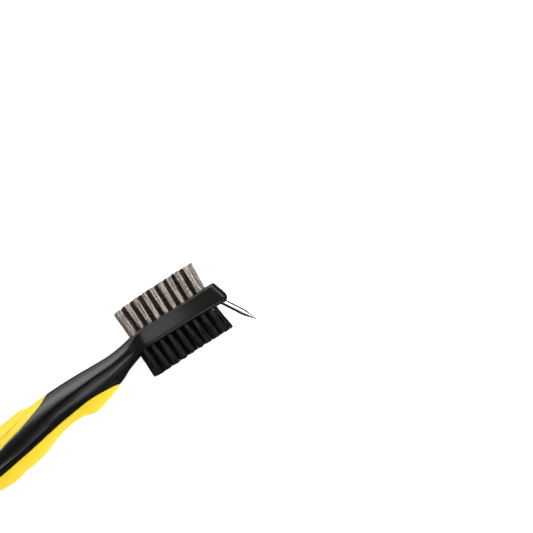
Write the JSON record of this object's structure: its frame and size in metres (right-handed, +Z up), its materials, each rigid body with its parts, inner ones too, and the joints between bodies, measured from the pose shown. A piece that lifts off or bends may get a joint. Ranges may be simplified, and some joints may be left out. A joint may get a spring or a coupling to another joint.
{
  "type": "club groove brush",
  "caption": "Two-sided golf club cleaning brush with wire and nylon bristles, a steel groove spike, soft overmoulded grips and a lanyard hole in the tail.",
  "frame": {"origin": "centre of the footprint on the rest plane, the brush lying on the head's flat side", "axes": "+X from the tail towards the head and spike, +Y towards the wire bristles, +Z up across the head's width"},
  "size_m": [0.195, 0.0454, 0.019],
  "materials": {
    "black_plastic": "satin moulded plastic",
    "yellow_grip": "matte soft elastomer",
    "polished_steel": "polished",
    "bristle_wire": "crimped wire",
    "bristle_nylon": "nylon filament",
    "anchor_metal": "flat strip"
  },
  "bodies": {
    "root": {"handle_frame": "black_plastic", "thumb_grip": "yellow_grip", "finger_grip": "yellow_grip", "groove_spike": "polished_steel", "wire_tufts_row_1": "bristle_wire", "wire_tufts_row_2": "bristle_wire", "wire_tufts_row_3": "bristle_wire", "wire_tufts_row_4": "bristle_wire", "wire_tufts_row_5": "bristle_wire", "nylon_tufts_row_1": "bristle_nylon", "nylon_tufts_row_2": "bristle_nylon", "nylon_tufts_row_3": "bristle_nylon", "nylon_tufts_row_4": "bristle_nylon", "nylon_tufts_row_5": "bristle_nylon", "wire_anchors_row_1": "anchor_metal", "wire_anchors_row_2": "anchor_metal", "wire_anchors_row_3": "anchor_metal", "wire_anchors_row_4": "anchor_metal", "wire_anchors_row_5": "anchor_metal", "nylon_anchors_row_1": "anchor_metal", "nylon_anchors_row_2": "anchor_metal", "nylon_anchors_row_3": "anchor_metal", "nylon_anchors_row_4": "anchor_metal", "nylon_anchors_row_5": "anchor_metal"}
  },
  "joints": []
}
